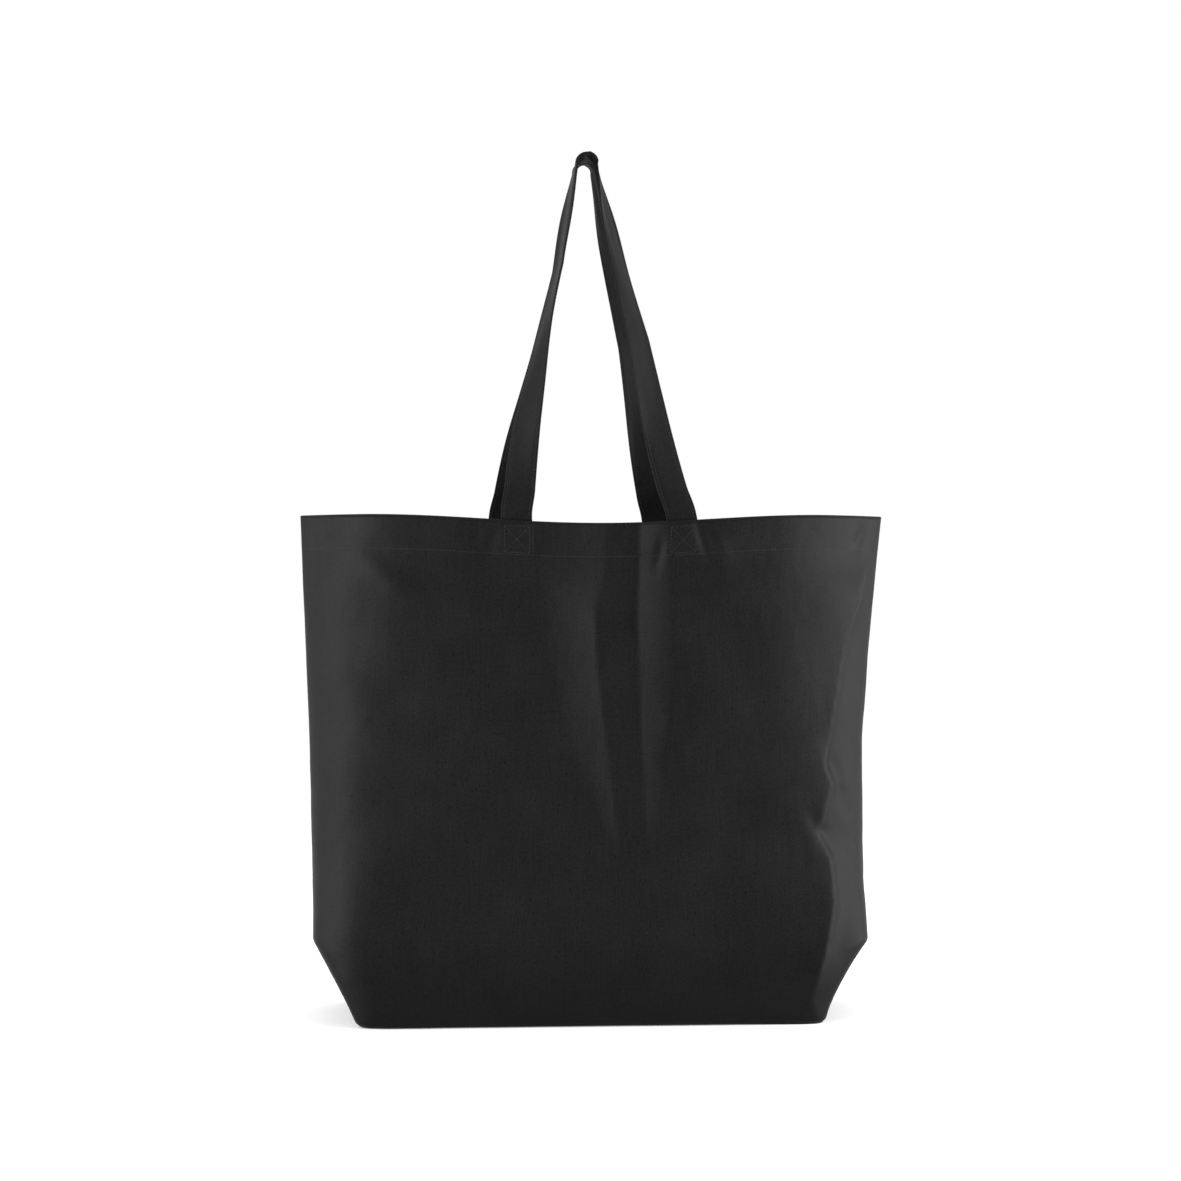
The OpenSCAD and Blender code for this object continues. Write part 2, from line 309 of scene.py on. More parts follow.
class Recipe:
    """A material or world and the nodes it is made of."""

    def __init__(self, owner):
        self.owner = owner
        owner.use_nodes = True
        self.tree = owner.node_tree
        self.tree.nodes.clear()

    def node(self, kind, settings=None, values=None, output=0):
        made = self.tree.nodes.new(kind)
        for name, value in (settings or {}).items():
            setattr(made, name, value)
        for name, value in (values or {}).items():
            if isinstance(value, Value):
                self.tree.links.new(value.socket, made.inputs[name])
            else:
                made.inputs[name].default_value = value
        return Value(self, made.outputs[output])

    def colour_mix(self, share, first, second):
        return self.node("ShaderNodeMix", {"data_type": "RGBA"},
                         {"Factor": share, 6: first, 7: second}, output=2)

    def noise(self, place, scale, detail=2.0):
        return self.node("ShaderNodeTexNoise", {},
                         {"Vector": place, "Scale": scale, "Detail": detail})

    def finish(self, values, shader="ShaderNodeBsdfPrincipled", out="ShaderNodeOutputMaterial"):
        surface = self.node(shader, {}, values)
        end = self.tree.nodes.new(out)
        self.tree.links.new(surface.socket, end.inputs["Surface"])
        return self.owner


def colour4(colour):
    return (*colour, 1.0)


def canvas_material(name, sizes, colours, fade=0.0, foot=-1.0):
    """Dyed plain-weave canvas on the piece's UV map in metres, with painted shade darkening it
    below the foot height, where the cloth turns under.
    """
    recipe = Recipe(bpy.data.materials.new(name))
    uv = recipe.node("ShaderNodeUVMap", {"uv_map": "cloth"})
    across = recipe.node("ShaderNodeSeparateXYZ", {}, {0: uv})
    up = Value(recipe, across.socket.node.outputs[1])

    def streaks(across_scale, up_scale, detail):
        stretched = {0: across * across_scale, 1: up * up_scale}
        return recipe.noise(recipe.node("ShaderNodeCombineXYZ", {}, stretched), 1.0, detail)

    wobble = recipe.noise(uv, 180.0) * 0.9
    turn = math.pi / sizes.weave
    warp = (across * turn + wobble).sine()
    weft = (up * turn + wobble).sine()
    over = (warp * weft) * 0.5 + 0.5
    height = warp.size() * over + weft.size() * (1.0 - over)
    grain = streaks(620.0, 26.0, 3.0)
    cross_grain = streaks(30.0, 520.0, 2.0)
    mottle = recipe.noise(uv, 22.0, 4.0)
    slubs = streaks(520.0, 260.0, 1.0)
    dark_slubs = slubs.between(0.34, 0.27)
    light_slubs = slubs.between(0.72, 0.80)
    speckle = recipe.noise(uv, 560.0, 3.0)
    yarns = (grain.between(0.25, 0.78) * 0.30 + cross_grain.between(0.3, 0.8) * 0.08
             + speckle.between(0.32, 0.68) * 0.55 + mottle.between(0.3, 0.7) * 0.28
             + height * 0.20 + fade)
    shade = yarns * 0.62 + light_slubs * 0.35 - dark_slubs * 0.8
    # Painted shade: the colour darkens towards the bag's foot, where the cloth turns under
    # towards the floor
    shade = shade * (up.between(foot, foot + 0.10) * 0.6 + 0.4)
    colour = recipe.colour_mix(shade, colour4(colours.canvas), colour4(colours.worn))
    relief = height * 0.6 + grain * 0.4 + speckle * 0.8 + light_slubs * 0.8
    bump = recipe.node("ShaderNodeBump", {},
                       {"Strength": 0.40, "Distance": 0.00014, "Height": relief})
    rough = mottle * 0.10 + 0.46
    return recipe.finish({
        "Base Color": colour, "Roughness": rough, "Normal": bump,
        "Specular IOR Level": 0.09, "Sheen Weight": 0.012, "Sheen Roughness": 0.40,
        "Sheen Tint": (0.85, 0.86, 0.90, 1.0)})


def thread_material(colours):
    """Twisted cotton thread with a soft shine."""
    recipe = Recipe(bpy.data.materials.new("sewing_thread"))
    place = recipe.node("ShaderNodeTexCoord", {}, {}, output=3)
    fibres = recipe.noise(place, 3000.0, 2.0)
    colour = recipe.colour_mix(fibres, colour4([c * 0.6 for c in colours.thread]),
                               colour4(colours.thread))
    bump = recipe.node("ShaderNodeBump", {},
                       {"Strength": 0.4, "Distance": 0.0001, "Height": fibres})
    return recipe.finish({
        "Base Color": colour, "Roughness": 0.62, "Normal": bump,
        "Specular IOR Level": 0.12, "Sheen Weight": 0.05, "Sheen Roughness": 0.4})


def floor_material(colours):
    """Plain matt studio floor."""
    recipe = Recipe(bpy.data.materials.new("studio_floor"))
    place = recipe.node("ShaderNodeTexCoord", {}, {}, output=3)
    tone = recipe.noise(place, 3.0)
    colour = recipe.colour_mix(tone, colour4(colours.floor),
                               colour4([c * 0.98 for c in colours.floor]))
    return recipe.finish({
        "Base Color": colour, "Roughness": 0.9, "Specular IOR Level": 0.1,
        "Emission Color": colour4(colours.floor), "Emission Strength": FLOOR_GLOW})


def studio_world():
    """White all round but for a dimmer front, so that side-lit folds stand out."""
    recipe = Recipe(bpy.data.worlds.new("studio"))
    towards = recipe.node("ShaderNodeTexCoord", {}, {}, output=0)
    parts = recipe.node("ShaderNodeSeparateXYZ", {}, {0: towards}, output=1)
    tone = recipe.colour_mix(parts.between(-0.25, -0.80), WHITE, DIM_FRONT)
    return recipe.finish({"Color": tone, "Strength": 1.0}, "ShaderNodeBackground",
                         "ShaderNodeOutputWorld")


def shared(name, make, *facts):
    """The material of that name, made the first time it is asked for."""
    return bpy.data.materials.get(name) or make(*facts)


# The bag's shape


def mix(first, second, share):
    return first + (second - first) * share


def ease(share):
    t = min(1.0, max(0.0, share))
    return t * t * (3 - 2 * t)


def interpolate(stations, place):
    """Values at place, in a straight line from the station below it to the one above."""
    if place <= stations[0][0]:
        return stations[0][1:]
    for first, second in zip(stations, stations[1:]):
        if place <= second[0]:
            share = (place - first[0]) / (second[0] - first[0])
            return [mix(a, b, share) for a, b in zip(first[1:], second[1:])]
    return stations[-1][1:]


def sag(x):
    """How far the mouth hangs below its corners."""
    return MOUTH_SAG * math.cos(math.pi / 2 * min(1.0, abs(x) / SAG_REACH)) ** 2


def outline_size(z, right):
    """Half width, half depth and corner powers of the bag's outline at a height."""
    kink_z, bend = RIGHT_KINK if right else LEFT_KINK
    low = min(1.0, max(0.0, z) / kink_z) ** bend
    up = max(0.0, (z - KINK_Z) / (BAG_H - KINK_Z))
    if right:
        full = RIGHT_BELLY_W
        flare = max(0.0, (z - RIGHT_FLARE_Z) / (BAG_H - RIGHT_FLARE_Z)) ** RIGHT_FLARE_POWER
    else:
        full, flare = LEFT_BELLY_W, up
    power = mix(BASE_POWER, BELLY_POWER, ease(z / CORNER_RISE))
    turn = TURN_R - math.sqrt(max(0.0, z) * (2 * TURN_R - z)) if z < TURN_R else 0.0
    mouth = MOUTH_HALF_W + (RIGHT_MOUTH_EXTRA if right else 0.0)
    return (mix(mix(BASE_HALF_W, full, low), mouth, flare) - turn,
            mix(mix(BASE_HALF_D, BELLY_HALF_D, low), MOUTH_HALF_D, up * up) - turn,
            mix(power, MOUTH_POWER_X, up), mix(power, MOUTH_POWER_Y, up))


@functools.lru_cache(maxsize=4096)
def quarter_outline(z, right):
    """Points of a quarter outline from the middle to the side, with their running lengths."""
    half_w, half_d, power_x, power_y = outline_size(z, right)
    points, lengths = [], [0.0]
    for step in range(OUTLINE_STEPS + 1):
        angle = math.pi / 2 * step / OUTLINE_STEPS
        points.append((half_w * math.sin(angle) ** power_x,
                       -half_d * max(0.0, math.cos(angle)) ** power_y))
    for a, b in zip(points, points[1:]):
        lengths.append(lengths[-1] + math.hypot(b[0] - a[0], b[1] - a[1]))
    return points, lengths


def at_share(z, right, share):
    """The point at a share of the quarter outline's length."""
    points, lengths = quarter_outline(round(z, 6), right)
    goal = min(1.0, share) * lengths[-1]
    low, high = 0, OUTLINE_STEPS
    while high - low > 1:
        middle = (low + high) // 2
        if lengths[middle] <= goal:
            low = middle
        else:
            high = middle
    part = (goal - lengths[low]) / max(1e-9, lengths[high] - lengths[low])
    return mix(points[low][0], points[high][0], part), mix(points[low][1], points[high][1], part)


def smooth_wall(u, z):
    """A point of the unfolded front wall; u runs from -1 at the left seam to 1 at the right."""
    x, y = at_share(z, u > 0, abs(u))
    x = math.copysign(x, u) + BASE_ASIDE * max(0.0, 1.0 - z / BASE_ASIDE_RISE)
    return Vector((x, min(y, -SEAM_GAP), z - sag(x) * ease(z / BAG_H)))


def valley(stations, x, z):
    """Depth of the hanging fold between the straps."""
    left, floor_left, floor_right, right, depth = interpolate(stations, z)
    if x <= left or x >= right:
        return 0.0
    if x < floor_left:
        return depth * ((x - left) / (floor_left - left)) ** VALLEY_POWER
    if x > floor_right:
        return depth * ((right - x) / (right - floor_right)) ** VALLEY_POWER
    return depth


def crease(start, end, half_width, depth, x, z):
    """Depth of a crease along a straight line, fading out at its ends."""
    dx, dz = end[0] - start[0], end[1] - start[1]
    share = ((x - start[0]) * dx + (z - start[1]) * dz) / (dx * dx + dz * dz)
    near = min(1.0, max(0.0, share))
    gap = math.hypot(x - start[0] - near * dx, z - start[1] - near * dz)
    if gap > 3 * half_width:
        return 0.0
    return depth * math.exp(-(gap / half_width) ** 2) * (0.35 + 0.65 * math.sin(math.pi * near))


def crest(stations, x, z, inner, outer, height, softness):
    """Height of a fold's crest that runs down the bag beside its edge."""
    gap = x - interpolate(stations, z)[0]
    run = -gap / inner if gap < 0 else gap / outer
    return height * math.exp(-run ** softness) * ease((CREST_TOP_Z - z) / CREST_FADE)


def fold_height(u, x, z, side):
    """How far the cloth stands out of the smooth wall."""
    fade = ease((z - 0.004) / 0.04)
    at = Vector((x * 9.0, side * 3.0, z * 6.5))
    height = sum(tall * noise.noise(at * fine) for fine, tall in BILLOWS)
    strap_gap = (abs(x + side * CALM_ASIDE) - STRAP_X) / CALM_HALF_W
    height *= 1.0 - 0.95 * math.exp(-strap_gap ** 2) * ease((z - CALM_Z) / CALM_FADE)
    if side < 0:
        x += FRONT_FOLDS_ASIDE
        height -= valley(FRONT_VALLEY, x, z)
        height -= sum(crease(*facts, x, z) for facts in FRONT_CREASES)
        height += crest(RIGHT_CREST, x, z, *FRONT_RIGHT_CREST)
        height += crest(LEFT_CREST, -x, z, *FRONT_LEFT_CREST)
    else:
        height -= valley(BACK_VALLEY, x, z)
        height -= sum(crease(*facts, x, z) for facts in BACK_CREASES)
        height += crest(LEFT_CREST, x, z, *BACK_RIGHT_CREST)
        height += crest(LEFT_CREST, -x, z, *BACK_LEFT_CREST)
    stitch_gap = (z - HEM_Z - HEM_ROW_UP) / 0.0016
    height -= 0.00035 * math.exp(-stitch_gap ** 2)
    pucker = math.exp(-((z - HEM_Z) / 0.006) ** 2)
    height += 0.00022 * pucker * noise.noise(Vector((x * 160.0, side * 9.0, z * 40.0)))
    height += 0.00045 * ease((z - HEM_Z + 0.0005) / 0.001)
    seam = (1.0 - abs(u)) * PANEL_HALF_CUT
    height -= 0.0010 * math.exp(-seam / 0.0016)
    return height * mix(0.15, 1.0, fade) * ease(seam / 0.004 + 0.35)


@functools.lru_cache(maxsize=4096)
def share_at(x, z):
    """The u of the unfolded wall that lies at x, found by halving."""
    low, high = -1.0, 1.0
    for _ in range(24):
        middle = (low + high) / 2
        if smooth_wall(middle, z).x < x:
            low = middle
        else:
            high = middle
    return low


@functools.lru_cache(maxsize=65536)
def smooth_frame(u, z):
    """Place and outward direction of the unfolded front wall."""
    step_u, step_z = 0.004, 0.0012
    low_z, high_z = max(0.0003, z - step_z), min(BAG_H, z + step_z)
    run = smooth_wall(min(1.0, u + step_u), z) - smooth_wall(max(-1.0, u - step_u), z)
    rise = smooth_wall(u, high_z) - smooth_wall(u, low_z)
    return smooth_wall(u, z), run.cross(rise).normalized()


def wall_point(u, z, inset, side):
    """A point of the folded wall, inset below its outer face, on the front or back side."""
    place, normal = smooth_frame(round(u, 7), round(z, 7))
    height = fold_height(u, place.x, z, side)
    point = place + normal * (height - inset)
    point.y = min(point.y, -SEAM_GAP)
    point.z = max(point.z, inset * 0.2)
    if side > 0:
        point.y = -point.y
    return point


def outward(u, z, side):
    """Outward direction of the folded wall."""
    step_u, step_z = 0.003, 0.001
    run = wall_point(min(1.0, u + step_u), z, 0.0, side) - wall_point(u - step_u, z, 0.0, side)
    rise = wall_point(u, z, 0.0, side) - wall_point(u, z - step_z, 0.0, side)
    return (run.cross(rise) * -side).normalized()


# Mesh tools


def new_piece(name, mesh_maker, material, slot, body, *replaced):
    """Makes an object from a bmesh, gives it its finish and ties it to its body."""
    mesh = bpy.data.meshes.new(name)
    mesh_maker.to_mesh(mesh)
    mesh_maker.free()
    for polygon in mesh.polygons:
        polygon.use_smooth = True
    piece = bpy.data.objects.new(name, mesh)
    bpy.context.scene.collection.objects.link(piece)
    mesh.materials.append(material)
    if replaced:
        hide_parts(*replaced)
    if body:
        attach(piece, body)
    return piece


def shaped_grid(across, along, place):
    """A grid whose corners run from 0 to 1 both ways, each moved by place(i, j) -> point, uv."""
    maker = bmesh.new()
    bmesh.ops.create_grid(maker, x_segments=across, y_segments=along, size=0.5)
    uv_layer = maker.loops.layers.uv.new("cloth")
    flat = {}
    for corner in maker.verts:
        i, j = corner.co.x + 0.5, corner.co.y + 0.5
        corner.co, flat[corner] = place(i, j)
    for face in maker.faces:
        for loop in face.loops:
            loop[uv_layer].uv = flat[loop.vert]
    return maker


def flip_to_back(maker):
    """Mirrors a piece made for the front to the back."""
    bmesh.ops.scale(maker, vec=(1, -1, 1), verts=maker.verts)
    bmesh.ops.reverse_faces(maker, faces=maker.faces)


def thicken(piece, thickness):
    """Gives a sheet its thickness on the inner side."""
    solid = piece.modifiers.new("Cloth", "SOLIDIFY")
    solid.thickness = thickness
    solid.offset = -1.0
    solid.use_even_offset = False


def stitch_matrix(start, end, out, thickness):
    """Lays one bead of thread from start to end, sunk a third into the cloth."""
    along = end - start
    side = out.cross(along).normalized()
    lie = side.cross(along).normalized()
    turn = Matrix((side, lie, along.normalized())).transposed().to_4x4()
    size = Matrix.Diagonal((thickness, thickness * 0.8, along.length * 1.05, 1.0))
    return Matrix.Translation((start + end) / 2 + out * thickness * 0.12) @ turn @ size


def stitch_run(point, facing, length, pitch, thickness):
    """Places for a row of stitches along point(share), on the side facing(share)."""
    count = max(1, round(length / pitch))
    return [stitch_matrix(point((index + 0.12) / count), point((index + 0.88) / count),
                          facing((index + 0.5) / count), thickness) for index in range(count)]


def stitch_mesh(places):
    """All the stitches of one piece, copied by doubling from a single bead."""
    maker = bmesh.new()
    bmesh.ops.create_uvsphere(maker, u_segments=6, v_segments=5, radius=0.5)
    number = maker.verts.layers.int.new("number")
    count = 1
    while count < len(places):
        copies = bmesh.ops.duplicate(maker, geom=[*maker.verts, *maker.edges, *maker.faces])
        for corner in copies["geom"]:
            if isinstance(corner, bmesh.types.BMVert):
                corner[number] += count
        count *= 2
    spare = [corner for corner in maker.verts if corner[number] >= len(places)]
    bmesh.ops.delete(maker, geom=spare, context="VERTS")
    for corner in maker.verts:
        corner.co = places[corner[number]] @ corner.co
    maker.verts.layers.int.remove(number)
    return maker


# Straps


LEG_FOOT = Vector((0.0, STRAP_FOOT_Y, STRAP_FOOT_Z))
LEG_RISE = (STRAP_APEX - LEG_FOOT).length
LEG_DIR = (STRAP_APEX - LEG_FOOT).normalized()
LEG_OUT = Vector((1, 0, 0)).cross(LEG_DIR)
ARCH_V = LEG_RISE - ARCH_R
LEG_TILT = math.atan2(STRAP_X, ARCH_V) - math.asin(ARCH_R / math.hypot(STRAP_X, ARCH_V))
LEG_L = (ARCH_V + ARCH_R * math.sin(LEG_TILT)) / math.cos(LEG_TILT)
ARCH_L = ARCH_R * (math.pi - 2 * LEG_TILT)
STRAP_L = 2 * (SEWN_L + LEG_L) + ARCH_L


def aside(side, hand, z):
    """How far to the right a leg lies from its even place at a height."""
    up = (z - STRAP_FOOT_Z) / (STRAP_APEX.z - STRAP_FOOT_Z)
    left_of_rise = min(1.0, max(0.0, 1.0 - (z - STRAP_FOOT_Z) / ASIDE_RISE))
    sewn = SEWN_ASIDE[side, hand] * left_of_rise ** ASIDE_POWER
    bow, reach = LEFT_BOW if hand < 0 else RIGHT_BOW
    bow *= math.sin(math.pi * min(1.0, max(0.0, up / reach)))
    return sewn + bow + LOOP_LEAN * ease((up - 0.30) / 0.65)


def set_aside(maker, side):
    """Moves a strap, or its stitches, from its even place to where it is sewn."""
    for corner in maker.verts:
        hand = 1 if corner.co.x > 0 else -1
        corner.co.x += aside(side, hand, corner.co.z)


def strap_middle(run):
    """Middle line of the strap at a run from its left sewn end, and the strap's turn there."""
    left = run < STRAP_L / 2
    back = run if left else STRAP_L - run
    sign = -1 if left else 1
    leg_run = back - SEWN_L
    if leg_run > LEG_L:
        angle = LEG_TILT + (leg_run - LEG_L) / ARCH_R
        x, v = sign * ARCH_R * math.cos(angle), ARCH_V + ARCH_R * math.sin(angle)
        return LEG_FOOT + Vector((x, 0, 0)) + LEG_DIR * v, math.pi / 2
    v = leg_run * math.cos(LEG_TILT)
    x = sign * (STRAP_X - v * math.tan(LEG_TILT))
    leaning = LEG_FOOT + Vector((x, 0, 0)) + LEG_DIR * v
    slope = SEWN_SLOPE * min(0.0, leg_run) / SEWN_L
    upright = Vector((sign * STRAP_X, STRAP_FOOT_Y + slope, STRAP_FOOT_Z + leg_run))
    share = ease((leg_run + BEND_BELOW) / BEND_L)
    turns = LEFT_TURNS if left else RIGHT_TURNS
    near = [interpolate(turns, v + gap)[0] for gap in TURN_SPREAD]
    return upright.lerp(leaning, share), math.radians(sum(near) / len(near))


@functools.lru_cache(maxsize=8192)
def strap_frame(run):
    """Middle, across and outward directions of the strap at a run along it."""
    run = min(STRAP_L - 0.0005, max(0.0005, run))
    middle, turn = strap_middle(run)
    along = (strap_middle(run + 0.0005)[0] - strap_middle(run - 0.0005)[0]).normalized()
    plane = LEG_OUT.cross(along).normalized()
    across = plane * math.cos(turn) + along.cross(plane) * -math.sin(turn)
    return middle, across, along.cross(across)


def strap_cup(run, a):
    """How far the strap's surface bows: it is flat where sewn and folds softly higher up."""
    from_end = min(run, STRAP_L - run) - SEWN_L
    rise = ease(from_end / 0.10)
    right = run > STRAP_L / 2
    top = ease((from_end - 0.20) / 0.08)
    bow = 0.0011 * rise * math.sin(run * 34.0 + (1.4 if right else 0.2)) + 0.0016 * top
    ripple = 0.0010 * rise * noise.noise(Vector((a * 90.0, run * 14.0, 4.0 if right else 1.0)))
    fold = a - 0.003 - 0.0015 * math.sin(run * 21.0)
    ridge = 0.0013 * rise * math.exp(-(fold / 0.0014) ** 2) if right else 0.0
    return bow * ((a / STRAP_HALF_W) ** 2 - 0.35) + ripple + ridge


def strap_surface(run, a, out_share, thickness):
    """Point on the strap's skin: a across from the middle, out_share -1 to 1 through it."""
    middle, across, out = strap_frame(run)
    return middle + across * a + out * (strap_cup(run, a) + out_share * thickness / 2)


def strap_mesh(thickness):
    """One folded strap, from sewn end to sewn end."""
    around, along = 44, 250

    def place(i, j):
        angle = 2 * math.pi * i
        c, s = math.cos(angle), math.sin(angle)
        a = STRAP_HALF_W * math.copysign(abs(c) ** 0.45, c)
        share = math.copysign(abs(s) ** 0.55, s)
        groove = math.exp(-((abs(a) - STRAP_HALF_W + EDGE_STITCH_INSET) / 0.0007) ** 2)
        run = STRAP_L * j
        point = strap_surface(run, a, share * (1 - 0.22 * groove), thickness)
        return point, (a if s > 0 else 0.06 - a, run)

    maker = shaped_grid(around, along, place)
    bmesh.ops.remove_doubles(maker, verts=maker.verts, dist=0.00002)
    bmesh.ops.holes_fill(maker, edges=maker.edges, sides=around + 2)
    bmesh.ops.recalc_face_normals(maker, faces=maker.faces)
    return maker


def strap_edge_stitches(sizes):
    """Two rows along both faces of the strap."""
    reach = STRAP_HALF_W - EDGE_STITCH_INSET
    start = SEWN_L + 0.003
    length = STRAP_L - 2 * start
    places = []
    for face in (-1, 1):
        for edge in (-1, 1):
            def point(share):
                run = round(start + length * share, 6)
                return strap_surface(run, edge * reach, face * 0.80, sizes.strap_thickness)

            def facing(share):
                return strap_frame(round(start + length * share, 6))[2] * face
            places += stitch_run(point, facing, length, sizes.stitch_pitch, sizes.thread)
    return stitch_mesh(places)


# Operators, one for each piece or group of like pieces


class TOTE_OT_panels(bpy.types.Operator):
    """Lofts the front and back canvas, with their folds and half of the base each"""

    bl_idname = "tote.panels"
    bl_label = "Canvas panels"

    def execute(self, context):
        sizes, colours = context.scene.tote_sizes, context.scene.tote_colours
        # This canvas carries painted shade from the base to about 90 mm up the wall
        canvas = shared("black_canvas", canvas_material, "black_canvas", sizes, colours, 0.0,
                        BASE_HALF_D - 0.010)
        total = BASE_HALF_D + BAG_H
        for name, side in (("front", -1), ("back", 1)):
            def place(i, j):
                u, run = 2 * i - 1, total * j
                z = max(0.0, run - BASE_HALF_D)
                point = wall_point(u, z, 0.0, side)
                if run < BASE_HALF_D:
                    share = run / BASE_HALF_D
                    point = Vector((point.x * share, point.y * share, 0.0))
                return point, (u * PANEL_HALF_CUT, run)

            maker = shaped_grid(200, 190, place)
            bmesh.ops.remove_doubles(maker, verts=maker.verts, dist=0.00001)
            if side > 0:
                bmesh.ops.reverse_faces(maker, faces=maker.faces)
            panel = new_piece(f"{name}_canvas", maker, canvas, "canvas", "bag", f"{name}_panel")
            thicken(panel, sizes.cloth)
        return {"FINISHED"}


class TOTE_OT_hems(bpy.types.Operator):
    """Folds the hem over the mouth and down inside it"""

    bl_idname = "tote.hems"
    bl_label = "Turned hems"

    def execute(self, context):
        sizes, colours = context.scene.tote_sizes, context.scene.tote_colours
        canvas = shared("hem_canvas", canvas_material, "hem_canvas", sizes, colours, 0.04)
        outer, inner = sizes.cloth + HEM_GAP, HEM_INNER
        stations = (
            (HEM_Z, outer), (HEM_Z + 0.010, outer),
            (BAG_H - HEM_LIP, outer), (BAG_H - HEM_LIP, -0.0001),
            (BAG_H - 0.0004, -0.00015), (BAG_H + 0.0003, 0.0003), (BAG_H + 0.0007, 0.0011),
            (BAG_H + 0.0007, 0.0023), (BAG_H + 0.0002, 0.0031), (BAG_H - 0.0012, 0.0035),
            (BAG_H - 0.008, inner), (BAG_H - 0.016, inner), (HEM_Z + 0.004, inner),
            (HEM_Z + 0.0006, inner), (HEM_Z - 0.0001, 0.0028), (HEM_Z - 0.0001, 0.0020),
            (HEM_Z, outer),
        )
        rows = len(stations) - 1
        for name, side in (("front", -1), ("back", 1)):
            def place(i, j):
                u = 2 * i - 1
                z, inset = stations[round(j * rows)]
                point = wall_point(u, min(z, BAG_H), inset, side)
                point.z += max(0.0, z - BAG_H)
                return point, (u * PANEL_HALF_CUT, BASE_HALF_D + BAG_H + j * 0.06)

            maker = shaped_grid(200, rows, place)
            bmesh.ops.remove_doubles(maker, verts=maker.verts, dist=0.00001)
            bmesh.ops.holes_fill(maker, edges=maker.edges, sides=rows + 2)
            bmesh.ops.recalc_face_normals(maker, faces=maker.faces)
            new_piece(f"{name}_turned_hem", maker, canvas, "canvas", "bag", f"{name}_hem")
        return {"FINISHED"}


class TOTE_OT_hem_stitching(bpy.types.Operator):
    """Sews the row of stitches along the foot of each hem, outside and inside"""

    bl_idname = "tote.hem_stitching"
    bl_label = "Hem stitching"

    def execute(self, context):
        sizes, colours = context.scene.tote_sizes, context.scene.tote_colours
        thread = shared("sewing_thread", thread_material, colours)
        row_z = HEM_Z + HEM_ROW_UP
        for name, side in (("front", -1), ("back", 1)):
            places = []
            for inset, face in ((0.0, 1), (HEM_INNER, -1)):
                def point(share):
                    return wall_point(mix(-0.992, 0.992, share), row_z, inset, side)

                def facing(share):
                    return outward(mix(-0.992, 0.992, share), row_z, side) * face
                places += stitch_run(point, facing, 2 * PANEL_HALF_CUT, sizes.stitch_pitch,
                                     sizes.thread)
            new_piece(f"{name}_hem_thread", stitch_mesh(places), thread, "thread", "bag",
                      f"{name}_hem_stitching")
        return {"FINISHED"}


class TOTE_OT_box_stitching(bpy.types.Operator):
    """Sews a box with a cross through the hem and each strap end"""

    bl_idname = "tote.box_stitching"
    bl_label = "Box stitching"

    def execute(self, context):
        sizes, colours = context.scene.tote_sizes, context.scene.tote_colours
        thread = shared("sewing_thread", thread_material, colours)
        half = STRAP_HALF_W - EDGE_STITCH_INSET
        low, high = HEM_Z + BOX_FOOT_GAP, BAG_H - BOX_TOP_GAP
        corners = ((-half, low), (half, low), (half, high), (-half, high))
        runs = [*zip(corners, corners[1:] + corners[:1]),
                (corners[0], corners[2]), (corners[1], corners[3])]
        for name, side in (("front", -1), ("back", 1)):
            for hand, sign in (("left", -1), ("right", 1)):
                middle = sign * STRAP_X + SEWN_ASIDE[side, sign]
                places = []
                for start, end in runs:
                    for inset, face in ((0.0, 1), (STRAP_INNER, -1)):
                        def spot(share):
                            x = middle + mix(start[0], end[0], share)
                            return share_at(round(x, 6), HEM_Z), mix(start[1], end[1], share)

                        def point(share):
                            return wall_point(*spot(share), inset, side)

                        def facing(share):
                            return outward(*spot(share), side) * face
                        length = math.hypot(end[0] - start[0], end[1] - start[1])
                        places += stitch_run(point, facing, length, sizes.stitch_pitch,
                                             sizes.thread)
                new_piece(f"{name}_{hand}_box_thread", stitch_mesh(places), thread, "thread",
                          "bag", f"{name}_{hand}_box_stitching")
        return {"FINISHED"}


